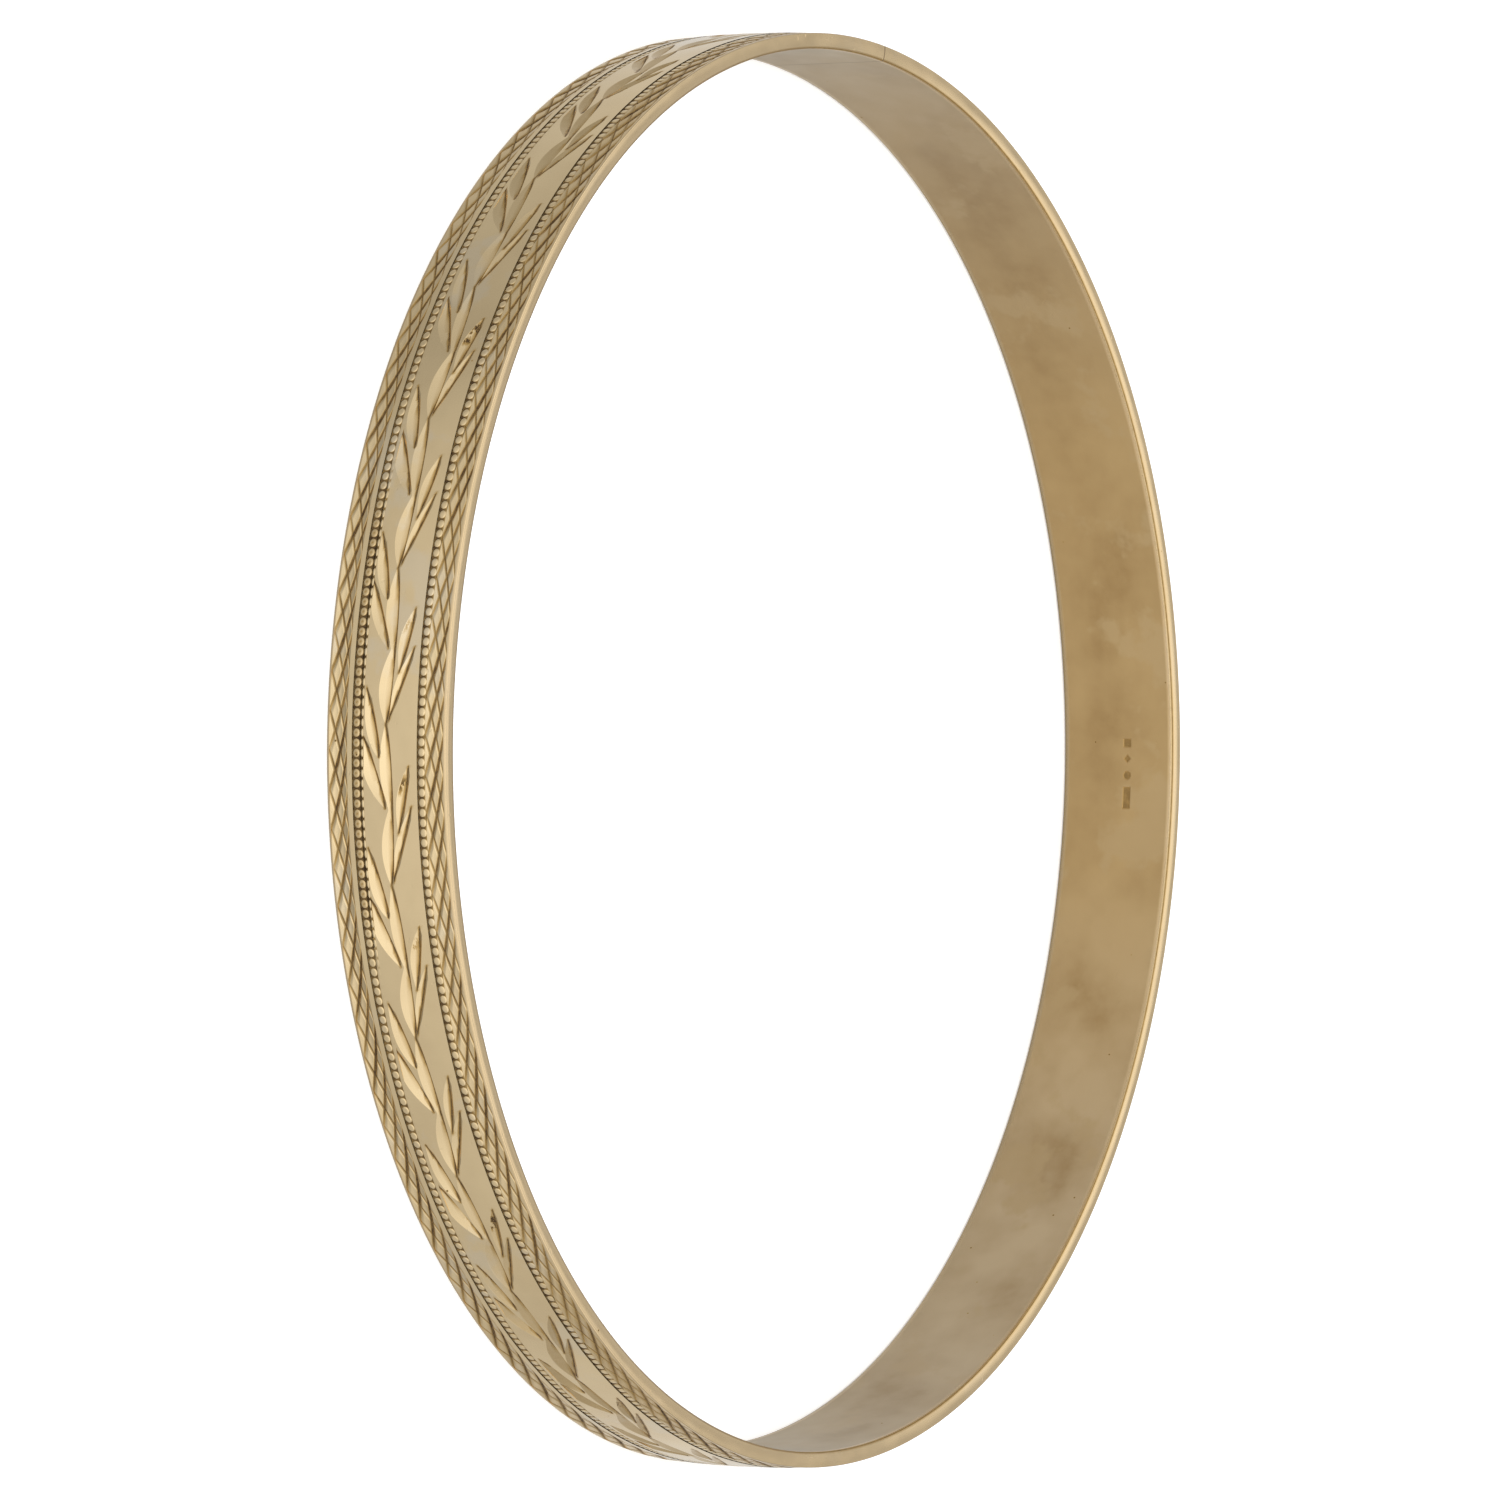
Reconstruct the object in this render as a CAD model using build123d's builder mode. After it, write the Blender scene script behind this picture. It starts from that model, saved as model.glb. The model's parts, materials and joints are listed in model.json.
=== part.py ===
from build123d import *
from math import cos, degrees, radians, sin
import os

# Engraved gold bangle: one flat strip, bent into a ring and closed by a soldered butt joint.
# The ring lies on its lower rim. +Z is the ring's axis, the origin is the middle of the ring on the
# plane of the lower rim, and the punched marks are inside the ring at +Y. All sizes are in mm.

# Strip
inner_diameter = 67.0
rim_wall = 0.75  # metal at the two rims
crown = 0.10  # how far the outside stands out at mid width
width = 6.4
inner_bevel = 0.13  # filed edge where the bore meets a rim
outer_round = 0.06  # softened edge where the outside meets a rim

# Two sunk bands that hold the rows of grain, measured up from the lower rim
grain_band_width = 0.50
grain_band_depth = 0.05
grain_band_heights = (1.62, 5.08)

# Butt joint, closed with a film of solder
joint_azimuth = 172.35  # degrees from +X towards +Y
solder_film = 0.10  # thickness along the outside of the ring

# Plain punch marks on the inside, in one row
punch_azimuth = 87.6
punch_height = 3.7  # above the lower rim
punch_depth = 0.05
punch_size = 0.46
oblong_length = 1.15
punch_corner = 0.08
punch_offsets = (-1.25, -0.10, 0.75, 1.55)  # along the bore, from the middle of the row

# Derived sizes
inner_radius = inner_diameter / 2
outer_radius = inner_radius + rim_wall
joint_angle = degrees(solder_film / outer_radius)


def outside_radius(height):
    """Radius of the crowned outside at a height above the lower rim."""
    from_middle = (height - width / 2) / (width / 2)
    return outer_radius + crown * (1 - from_middle**2)


def radial_plane(azimuth):
    """Plane through the ring's axis: sketch x runs outwards, sketch y runs up."""
    angle = radians(azimuth)
    return Plane(origin=(0, 0, 0), x_dir=(cos(angle), sin(angle), 0), z_dir=(sin(angle), -cos(angle), 0))


def bore_plane(azimuth, height):
    """Plane tangent to the bore, facing into the metal, with sketch y running up."""
    angle = radians(azimuth)
    spot = (inner_radius * cos(angle), inner_radius * sin(angle), height)
    return Plane(origin=spot, x_dir=(-sin(angle), cos(angle), 0), z_dir=(cos(angle), sin(angle), 0))


def strip_section():
    """Section of the strip: straight bore and rims, crowned outside, eased edges, two sunk bands."""
    with BuildSketch() as section:
        with BuildLine():
            Line((outer_radius, 0), (inner_radius, 0))
            Line((inner_radius, 0), (inner_radius, width))
            Line((inner_radius, width), (outer_radius, width))
            ThreePointArc((outer_radius, width), (outer_radius + crown, width / 2), (outer_radius, 0))
        make_face()
        chamfer(section.vertices().group_by(Axis.X)[0], inner_bevel)
        fillet(section.vertices().group_by(Axis.X)[-1], outer_round)
        for height in grain_band_heights:
            with Locations((outside_radius(height), height)):
                Rectangle(2 * grain_band_depth, grain_band_width, mode=Mode.SUBTRACT)
    return section.sketch


# The strip, bent round until its two ends almost meet
with BuildPart() as bangle_band:
    with BuildSketch(radial_plane(joint_azimuth + joint_angle / 2)):
        add(strip_section())
    revolve(axis=Axis.Z, revolution_arc=360 - joint_angle)

    oblong_at, disc_at, lozenge_at, square_at = [
        bore_plane(punch_azimuth + degrees(offset / inner_radius), punch_height) for offset in punch_offsets
    ]
    with BuildSketch(oblong_at):
        RectangleRounded(oblong_length, punch_size, punch_corner)
    with BuildSketch(disc_at):
        Circle(punch_size / 2)
    with BuildSketch(lozenge_at):
        RegularPolygon(punch_size / 2, 4)
    with BuildSketch(square_at):
        RectangleRounded(punch_size, punch_size, punch_corner)
    extrude(amount=punch_depth, both=True, mode=Mode.SUBTRACT)

# The solder that fills the joint, with the strip's own section
with BuildPart() as solder_seam:
    with BuildSketch(radial_plane(joint_azimuth - joint_angle / 2)):
        add(strip_section())
    revolve(axis=Axis.Z, revolution_arc=joint_angle)

bangle_band.part.label = "bangle_band"
solder_seam.part.label = "solder_seam"

os.makedirs("parts", exist_ok=True)
export_step(bangle_band.part, "parts/bangle_band.step")
export_step(solder_seam.part, "parts/solder_seam.step")
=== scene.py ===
import json
import math

import bpy
import numpy as np
from mathutils import Matrix, Vector


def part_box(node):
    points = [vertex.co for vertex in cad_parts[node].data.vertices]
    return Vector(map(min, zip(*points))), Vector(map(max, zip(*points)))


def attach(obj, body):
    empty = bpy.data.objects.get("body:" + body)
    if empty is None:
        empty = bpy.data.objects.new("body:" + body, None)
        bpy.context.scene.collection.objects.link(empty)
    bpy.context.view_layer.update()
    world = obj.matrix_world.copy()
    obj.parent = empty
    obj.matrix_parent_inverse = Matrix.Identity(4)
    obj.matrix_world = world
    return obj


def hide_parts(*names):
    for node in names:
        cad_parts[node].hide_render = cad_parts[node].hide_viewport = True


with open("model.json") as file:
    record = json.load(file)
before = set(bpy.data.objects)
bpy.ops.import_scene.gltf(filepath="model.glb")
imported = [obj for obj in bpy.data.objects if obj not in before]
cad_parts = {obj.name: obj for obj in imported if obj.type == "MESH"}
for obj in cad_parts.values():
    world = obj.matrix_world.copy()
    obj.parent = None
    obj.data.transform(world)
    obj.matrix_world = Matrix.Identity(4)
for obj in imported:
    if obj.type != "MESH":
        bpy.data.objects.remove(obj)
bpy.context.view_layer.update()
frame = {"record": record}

# An engraved gold bangle, worked in millimetres and in two coordinates of the strip:
# turn is in degrees round the ring, from the punched marks at +Y towards +X, and height is from
# the middle of the strip's width, with the upper rim at the top.

MM = 0.001

# ------------------------ sizes of the strip

band_low, band_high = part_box("bangle_band")
joint_low, joint_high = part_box("solder_seam")
wrist_bore = next(mount for mount in frame["record"]["mounts"] if mount["name"] == "wrist_bore")

bore_radius = wrist_bore["dims"]["r_mm"]
half_width = (band_high[2] - band_low[2]) / MM / 2
crest_radius = (band_high[0] - band_low[0]) / MM / 2
crown = 0.10
rim_radius = crest_radius - crown
seat_above_bore = 0.35
seat_radius = bore_radius + seat_above_bore
joint_film = 0.10
joint_middle = (Vector(joint_low) + Vector(joint_high)) / 2
joint_turn = math.degrees(math.atan2(joint_middle.x, joint_middle.y)) % 360
joint_span = math.degrees(joint_film / rim_radius)
mm_per_degree = math.radians(crest_radius)

# Zones of the outside, as heights from mid width
hatch_top = 3.07
hatch_foot = 2.12
grain_foot = 1.70
burr_top = -1.17
burr_foot = -1.35
lower_grain_foot = -1.80
lower_hatch_top = -2.06
lower_hatch_foot = -3.07


def outside(heights):
    """Radius of the crowned outside: a parabola from the rim radius to the crest at mid width."""
    return rim_radius + crown * (1 - (heights / half_width) ** 2)


def columns_from(step):
    """Turns of the columns: every whole step between the joint's two faces, and the faces themselves."""
    start = joint_turn + joint_span / 2
    end = joint_turn + 360 - joint_span / 2
    whole = np.arange(math.ceil(start / step), math.floor(end / step) + 1) * step
    clear = step / 20
    whole = whole[(whole > start + clear) & (whole < end - clear)]
    return np.concatenate(([start], whole, [end]))


# ------------------------ meshes


def fill_mesh(mesh, points, faces_by_size):
    """Puts points and lists of equal-sided faces, one array for each number of sides, into a mesh."""
    corners = np.concatenate([faces.ravel() for faces in faces_by_size])
    sizes = np.concatenate([np.full(len(faces), faces.shape[1]) for faces in faces_by_size])
    starts = np.concatenate(([0], np.cumsum(sizes)[:-1]))
    mesh.vertices.add(len(points))
    mesh.vertices.foreach_set("co", points.astype(np.float32).ravel())
    mesh.loops.add(len(corners))
    mesh.loops.foreach_set("vertex_index", corners.astype(np.int32))
    mesh.polygons.add(len(sizes))
    mesh.polygons.foreach_set("loop_start", starts.astype(np.int32))
    mesh.update(calc_edges=True)


def mark(mesh, name, kind, domain, values):
    """Stores one value for each point, edge or face under a name."""
    mesh.attributes.new(name, kind, domain).data.foreach_set("value", values)


def strip_solid(name, turns, heights, radii, shown, material, creases=(), lean=None, marks=None):
    """A closed solid: a section loop of (radius, height) rows carried round the ring, column by column.

    turns, heights and radii are grids of columns by rows. A row's point is at x = radius sin(turn),
    y = radius cos(turn) and its height above mid width. The rows run once round the section, up the
    outside first, and the two ends are closed. The first shown faces across are the visible ones, and
    creases are the rows along which the surface has a sharp edge. lean says which way each visible
    four-sided cell is split.
    """
    columns, rows = heights.shape
    angle = np.radians(turns)
    points = np.stack([radii * np.sin(angle), radii * np.cos(angle), heights + half_width], axis=-1) * MM
    column, row = np.meshgrid(np.arange(columns - 1), np.arange(rows), indexing="ij")
    here = column * rows + row
    above = column * rows + (row + 1) % rows
    cells = np.stack([here, above, above + rows, here + rows], axis=-1)
    ends = np.stack([np.arange(rows)[::-1], np.arange(rows) + (columns - 1) * rows])
    if lean is None:
        faces = [cells.reshape(-1, 4), ends]
        across = row.ravel()
    else:
        rising = np.stack([cells[..., [0, 1, 2]], cells[..., [0, 2, 3]]], axis=-2)
        falling = np.stack([cells[..., [0, 1, 3]], cells[..., [1, 2, 3]]], axis=-2)
        faces = [np.where(lean[..., None, None], rising, falling).reshape(-1, 3), ends]
        across = np.repeat(row.ravel(), 2)
    mesh = bpy.data.meshes.new(name)
    fill_mesh(mesh, points.reshape(-1, 3), faces)
    hidden = np.concatenate([across >= shown, np.ones(len(ends), bool)])
    mark(mesh, "sharp_face", "BOOLEAN", "FACE", hidden)
    pairs = np.empty(2 * len(mesh.edges), np.int32)
    mesh.edges.foreach_get("vertices", pairs)
    first, second = (pairs.reshape(-1, 2) % rows).T
    start, stop = (pairs.reshape(-1, 2) // rows).T
    on_crease = (first == second) & np.isin(first, list(creases))
    on_end = (start == stop) & np.isin(start, (0, columns - 1))
    mark(mesh, "sharp_edge", "BOOLEAN", "EDGE", on_crease | on_end)
    for label, values in (marks or {}).items():
        mark(mesh, label, "FLOAT", "POINT", values.astype(np.float32).ravel())
    unroll(mesh, turns, heights, radii)
    mesh.materials.append(material)
    piece = bpy.data.objects.new(name, mesh)
    bpy.context.scene.collection.objects.link(piece)
    return piece


def unroll(mesh, turns, heights, radii):
    """Lays the strip flat as a UV map: u is the length along the ring, v the length across, both in mm."""
    along = np.broadcast_to(turns * mm_per_degree, heights.shape)
    steps = np.hypot(np.diff(heights, axis=1), np.diff(radii, axis=1))
    across = np.concatenate([heights[:, :1], heights[:, :1] + np.cumsum(steps, axis=1)], axis=1)
    flat = np.stack([along, across], axis=-1).reshape(-1, 2)
    corners = np.empty(len(mesh.loops), np.int32)
    mesh.loops.foreach_get("vertex_index", corners)
    layer = mesh.uv_layers.new(name="Strip")
    layer.uv.foreach_set("vector", flat[corners].astype(np.float32).ravel())


def plain_strip(name, low, high, material):
    """A plain stretch of the outside between two heights."""
    turns = columns_from(1 / 3)
    heights = np.repeat(np.linspace(low, high, 4)[None], len(turns), axis=0)
    shown = heights.shape[1] - 1
    grid = with_back(turns, heights, np.zeros_like(heights), np.zeros_like(heights))
    return strip_solid(name, *grid[:3], shown, material, marks=grid[3])


def with_back(turns, heights, depths, tarnish):
    """Closes a stretch of the outside with a flat back on the core, by adding two seat rows to its grid."""
    low, high = heights[:, :1], heights[:, -1:]
    seat = np.full_like(low, seat_radius)
    all_heights = np.concatenate([heights, high, low], axis=1)
    all_radii = np.concatenate([outside(heights) - depths, seat, seat], axis=1)
    clean = np.zeros_like(low)
    marks = {"tarnish": np.concatenate([tarnish, clean, clean], axis=1)}
    return turns[:, None], all_heights, all_radii, marks


# ------------------------ leaf scroll

leaf_repeats = 30
leaf_repeat = 360 / leaf_repeats
first_root = 2.15
leaf_columns = 1 / 6
row_parts = np.array([0, 0.12, 0.5, 0.88])
row_gap = 2e-4

# Slopes of the cuts' floors, and the breadths of their walls, which are full beside a cut this broad
cut_tilt = 0.30
stem_tilt = 0.25
wall_breadth = 0.16
stem_wall = 0.11
full_wall_at = 0.2

# The uneven hand: (degrees, waves round the ring, phase) of the spacing, and the spreads of the rest
spacing_waves = ((0.10, 3, 0), (0.06, 7, 2), (0.05, 13, 1))
lift_spread = 0.025
leaf_spread = 0.07
stem_spread = 0.06

# Torn metal: its usual strength, and where it lies along a leaf and how far it reaches
usual_tear = 0.25
tear_range = (-0.3, 1)
tear_place = 0.72
tear_reach = 0.2

# Darkening in the cuts: strength and breadth of the dark line, which is grime with painted shade, a painted
# shade up the wall, a painted amber shade on the floor, and the breadth of cut that holds it all. The painted
# side shading is gone round the front and rises towards the ring's sides.
core_dirt_and_shade = 1.35
core_breadth = 0.052
wall_shade = 0.42
floor_shade_tint = 0.22
dark_holds_from = 0.04
unshaded_turn = 182.5
unshaded_within = 0.80
side_shading_fade = 0.25
thinnest = 1e-6

# Each cut: where it starts and how far it runs, in degrees from the root of its sprig, the heights of
# its line, as the four control heights of a cubic, its full breadth and how far along it is fullest
upper_leaves = (
    dict(start=0.0, span=6.1, line=(0.10, 0.52, 1.00, 1.40), breadth=0.34, fullest=0.55),
    dict(start=3.75, span=5.3, line=(0.60, 0.87, 1.08, 1.27), breadth=0.40, fullest=0.54, torn=1.0),
)
lower_leaves = (
    dict(start=5.75, span=5.5, line=(-0.02, -0.36, -0.80, -1.22), breadth=0.60, fullest=0.45),
    dict(start=9.5, span=5.5, line=(-0.32, -0.48, -0.76, -1.10), breadth=0.52, fullest=0.40),
)
stem_joint = 5.65
stem_first = (0.04, 0.22, 0.27, 0.31)
stem_second = (0.31, 0.31, 0.27, 0.04)
stem_swells = (
    dict(start=0.0, span=6.4, breadth=0.60, fullest=0.46),
    dict(start=4.9, span=7.3, breadth=0.53, fullest=0.52),
)
hand = np.random.default_rng(11)


def cubic(along, heights):
    """Height of a cubic Bezier curve with four control heights at a fraction of its length."""
    rest = 1 - along
    weights = (rest**3, 3 * along * rest**2, 3 * along**2 * rest, along**3)
    return sum(weight * height for weight, height in zip(weights, heights))


def swell(along, fullest):
    """Breadth of a cut: half a sine wave, bent so that its top is where the cut is fullest, 0 outside it."""
    bend = math.log(0.5) / math.log(fullest)
    inside = np.clip(along, 0, 1)
    return np.sin(math.pi * inside**bend) * (along > 0) * (along < 1)


def hand_turn(turns):
    """The engraver's uneven spacing: the turn, shifted by slow sine waves of up to a tenth of a degree."""
    angle = np.radians(turns)
    return sum((size * np.sin(waves * angle + phase) for size, waves, phase in spacing_waves), turns)


def within(turns, start):
    """For each turn: which sprig it belongs to, counted from a start, and the degrees from that start."""
    from_root = hand_turn(turns) - first_root - start
    sprig = np.floor(from_root / leaf_repeat).astype(int)
    return sprig % leaf_repeats, from_root - sprig * leaf_repeat


def wall_beside(breadth):
    """Breadth of a cut's steep wall, which narrows to nothing with the cut."""
    return wall_breadth * np.clip(breadth / full_wall_at, 0, 1)


def leaf_cut(cut, turns):
    """Line, breadth, depth, wall and tearing of one leaf's cut along the ring.

    Over its span the line is the cubic, moved a little by hand on every sprig. From its tip it runs on,
    without any breadth, to the next sprig's start. The floor slopes, so the depth follows the breadth.
    Near some leaves' tips the graver has torn the metal.
    """
    lift = hand.normal(0, lift_spread, leaf_repeats)
    size = 1 + hand.normal(0, leaf_spread, leaf_repeats)
    sprig, from_start = within(turns, cut["start"])
    along = from_start / cut["span"]
    on_leaf = cubic(np.clip(along, 0, 1), cut["line"]) + lift[sprig] * np.clip(along, 0, 1)
    back = np.clip((from_start - cut["span"]) / (leaf_repeat - cut["span"]), 0, 1)
    back = back**2 * (3 - 2 * back)
    tip = cut["line"][3] + lift[sprig]
    line = np.where(along < 1, on_leaf, tip + (cut["line"][0] - tip) * back)
    breadth = cut["breadth"] * size[sprig] * swell(along, cut["fullest"])
    tearing = cut.get("torn", usual_tear) * hand.uniform(*tear_range, leaf_repeats).clip(0, 1)
    torn = tearing[sprig] * np.exp(-(((along - tear_place) / tear_reach) ** 2))
    return line, breadth, cut_tilt * breadth, wall_beside(breadth), torn


def stem_line(turns):
    """Height of the stem's line: two cubics for each sprig, meeting where the second part is cut in."""
    from_root = within(turns, 0)[1]
    first = cubic(np.clip(from_root / stem_joint, 0, 1), stem_first)
    second = cubic(np.clip((from_root - stem_joint) / (leaf_repeat - stem_joint), 0, 1), stem_second)
    return np.where(from_root < stem_joint, first, second)


def stem_cuts(turns):
    """The two swelling cuts below the stem's line, one after the other, as leaf_cut gives them."""
    line = stem_line(turns)
    cuts = []
    for part in stem_swells:
        size = 1 + hand.normal(0, stem_spread, leaf_repeats)
        sprig, from_start = within(turns, part["start"])
        breadth = part["breadth"] * size[sprig] * swell(from_start / part["span"], part["fullest"])
        wall, torn = np.full_like(line, stem_wall), np.zeros_like(line)
        cuts.append((line, breadth, stem_tilt * breadth, wall, torn))
    return cuts


def side_shading(turns):
    """Painted side shading on the engraving, for its darker reflections towards the ring's sides: 0 round the
    front, and rising to 1 towards the sides.
    """
    return np.clip((unshaded_within - np.cos(np.radians(turns - unshaded_turn))) / side_shading_fade, 0, 1)


def cut_depth(heights, line, breadth, deep, wall):
    """Depth of a bright cut: a steep wall above its line, and below it a floor rising back to the surface."""
    floor = np.clip(1 - (line - heights) / np.maximum(breadth, thinnest), 0, 1)
    side = np.clip(1 - (heights - line) / np.maximum(wall, thinnest), 0, 1)
    return deep * np.where(heights < line, floor, side)


def cut_tarnish_and_shade(heights, line, breadth, wall):
    """How dark a cut is painted: a bell curve across its line, grime with painted shade, with a faint painted
    shade that fades up its wall.
    """
    core = np.minimum(1, core_dirt_and_shade * np.exp(-(((line - heights) / core_breadth) ** 2)))
    shade = wall_shade * np.clip(1 - (heights - line) / np.maximum(wall, thinnest), 0, 1)
    dark = np.where(heights < line, core, np.maximum(core, shade))
    return dark * np.clip(breadth / dark_holds_from, 0, 1)


def outlines_of(cuts):
    """The three outlines of each cut: the top of its wall, its line and the far side of its floor."""
    return [edge for line, breadth, _, wall, _ in cuts for edge in (line + wall, line, line - breadth)]


def leaf_field(name, turns, low, high, outlines, cuts, material):
    """A stretch of the outside between two edges, with its cuts as leaf_cut gives them.

    The rows are the edges and the cuts' outlines, sorted by height at each column and kept a hair apart,
    with three rows between each pair, so that the mesh always has an edge along each cut. The depth and
    the darkening, grime with painted shade, at a point are those of whichever cut is deepest or darkest
    there, and the cuts' floors also get a painted amber shade, stronger towards the ring's sides.
    """
    outlines = np.stack([low, high] + outlines, axis=1)
    outlines = np.sort(np.clip(outlines, low[:, None], high[:, None]), axis=1)
    spread = row_gap * np.arange(outlines.shape[1])
    outlines = np.maximum.accumulate(outlines - spread, axis=1) + spread
    rows = outlines[:, :-1, None] + np.diff(outlines, axis=1)[:, :, None] * row_parts
    heights = np.concatenate([rows.reshape(len(turns), -1), outlines[:, -1:]], axis=1)
    depths, tarnish, tearing = (np.zeros_like(heights) for _ in range(3))
    # Painted amber shade on the cuts' floors, stronger towards the ring's sides
    floor_shade = floor_shade_tint * side_shading(turns)[:, None]
    for cut in cuts:
        line, breadth, deep, wall, torn = [values[:, None] for values in cut]
        depths = np.maximum(depths, cut_depth(heights, line, breadth, deep, wall))
        tarnish = np.maximum(tarnish, cut_tarnish_and_shade(heights, line, breadth, wall))
        on_floor = (heights <= line) * (heights > line - breadth)
        tarnish = np.maximum(tarnish, floor_shade * on_floor)
        tearing = np.maximum(tearing, torn * on_floor)
    shown = heights.shape[1] - 1
    creases = range(0, shown + 1, len(row_parts))
    grid = with_back(turns, heights, depths, tarnish)
    marks = grid[3] | {"torn": np.pad(tearing, ((0, 0), (0, 2)))}
    return strip_solid(name, *grid[:3], shown, material, creases, marks=marks)


# ------------------------ hatched edges

hatch_repeats = 120
hatch_repeat = 360 / hatch_repeats
strokes_span = 2
hatch_steps = 8
hatch_bow = 0.22
stroke_weights = (0.8, 1.35)
# The last value of each look is how much stronger and wider the painted amber shade beside the rising strokes
# grows towards the ring's sides
upper_hatch = dict(phase=1.5, hollow=0.03, stained=0.30)
lower_hatch = dict(phase=0.375, hollow=0.08, stained=0.16)

# The two families of strokes: depth, breadths of the steep and the shallow side, and the strength of the dark
# line along them, grime with painted shade, its breadth and how far beside the stroke it lies
rising_strokes = dict(depth=0.060, steep=0.055, shallow=0.14, dirt=1.1, dirt_breadth=0.046, beside=0.008)
falling_strokes = dict(depth=0.045, steep=0.05, shallow=0.09, dirt=1.0, dirt_breadth=0.042, beside=0.0)

# The faint painted amber shade beside the rising strokes, for light reflected between the cut facets:
# strength, breadth, place, and how much the painted side shading widens it
stroke_shade_tint = dict(strength=0.14, breadth=0.10, beside=0.02, widening=0.6)


def stroke_cut(gap, weight, stroke):
    """Depth of a stroke at a distance across it: a ridge upside down, steep above and shallow below."""
    slope = np.where(gap > 0, 1 - gap / stroke["steep"], 1 + gap / stroke["shallow"])
    return stroke["depth"] * weight * np.clip(slope, 0, 1)


def stroke_dirt_and_shade(gap, weight, stroke):
    """Darkening along a stroke at a distance across it, grime with painted shade: a bell curve, as strong as
    the stroke was cut.
    """
    return stroke["dirt"] * weight * np.exp(-((gap - stroke["beside"]) / stroke["dirt_breadth"]) ** 2)


def hatch_strip(name, low, high, look, material):
    """Two families of slanting strokes that cross to leave rows of small diamonds.

    Each stroke runs from one side to the other over two repeats. With level as the fraction of the way
    across, a rising stroke is at turn = start + 2 repeats x level and a falling one the other way. The
    mesh has its columns and rows where strokes of both families cross, and the height is
    level + bow x level x (1 - level), which bends every stroke to the same shallow arc. The strip is
    hollowed by half a sine wave, and the strokes are shallower at its two sides. A faint painted amber shade,
    for light reflected between the cut facets, lies beside the rising strokes, stronger and wider by the
    look's share of the painted side shading. Each cell is split along the stroke that is nearer to it.
    """
    turns = columns_from(hatch_repeat / 2 / hatch_steps)
    level = np.arange(4 * hatch_steps + 1)[None] / (4 * hatch_steps)
    heights = low + (high - low) * (level + hatch_bow * level * (1 - level))
    heights = np.repeat(heights, len(turns), axis=0)
    from_start = turns[:, None] - look["phase"]
    run = strokes_span * hatch_repeat

    def gap(shifted):
        """Signed distance across the strokes, in mm, from the nearest one."""
        wrapped = (shifted + hatch_repeat / 2) % hatch_repeat - hatch_repeat / 2
        return wrapped * mm_per_degree * (high - low) / (run * mm_per_degree)

    def weight(shifted):
        """How hard the nearest stroke was cut."""
        nearest = np.round(shifted / hatch_repeat).astype(int) % hatch_repeats
        return hand.uniform(*stroke_weights, hatch_repeats)[nearest]

    strokes = []
    for slant, kind in ((-run, rising_strokes), (run, falling_strokes)):
        shifted = from_start + slant * level
        strokes.append((gap(shifted), weight(shifted), kind))
    fade = np.clip(0.5 + 2 * np.minimum(level, 1 - level), 0, 1)
    cut = np.maximum(*[stroke_cut(*stroke) for stroke in strokes])
    depths = look["hollow"] * np.sin(math.pi * level) + fade * cut
    dark = np.maximum(*[stroke_dirt_and_shade(*stroke) for stroke in strokes])
    rising, falling = strokes[0][0], strokes[1][0]
    # Painted amber shade beside the rising strokes, stronger and wider towards the ring's sides
    stained = look["stained"] * side_shading(turns)[:, None]
    reach = stroke_shade_tint["breadth"] + stroke_shade_tint["widening"] * stained
    beside = np.exp(-((rising - stroke_shade_tint["beside"]) / reach) ** 2)
    dark = np.maximum(dark, (stroke_shade_tint["strength"] + stained) * beside)
    off_rising, off_falling = np.abs(rising), np.abs(falling)
    nearer = off_rising < off_falling
    along_rising = off_rising[:-1, :-1] + off_rising[1:, 1:]
    along_falling = off_falling[1:, :-1] + off_falling[:-1, 1:]
    lean = nearer[:-1, :-1] & nearer[1:, 1:] | (along_rising < along_falling)
    lean = np.concatenate([lean, np.zeros((len(turns) - 1, 3), bool)], axis=1)
    grid = with_back(turns, heights, depths, np.clip(dark * fade, 0, 1))
    return strip_solid(name, *grid[:3], heights.shape[1] - 1, material, lean=lean, marks=grid[3])


# ------------------------ lines of grain

upper_bead = dict(length=0.40, breadth=0.40, height=1.92, dimple=0.0, open=0.8, elsewhere=1.0)
lower_bead = dict(length=0.405, breadth=0.41, height=-1.575, dimple=0.6, open=0.0, elsewhere=0.9)
burr_bead = dict(length=0.39, breadth=0.16, height=-1.255, dimple=0.0, open=0.7, elsewhere=0.03)
bead_nodes = np.array([-1, -0.8, -0.71, -0.42, 0, 0.42, 0.71, 0.8, 1])
bead_edge = 0.8
bead_foot = 0.75
dimple_edge = 0.2
dimple_ring = 0.3
bead_rise = 0.95
furrow_depth = 0.045
open_rise = 0.7
scallop_rise = 0.4
# Painted shade on the furrow's upright sides, as a share of the darkening on the furrow's lowest row
brim_shade = 0.2

# Where the punch bit deepest, and how the cosine of the turn from there fades it out
burr_turn = 183
bite_ends = 0.94
bite_fade = 0.03


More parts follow.
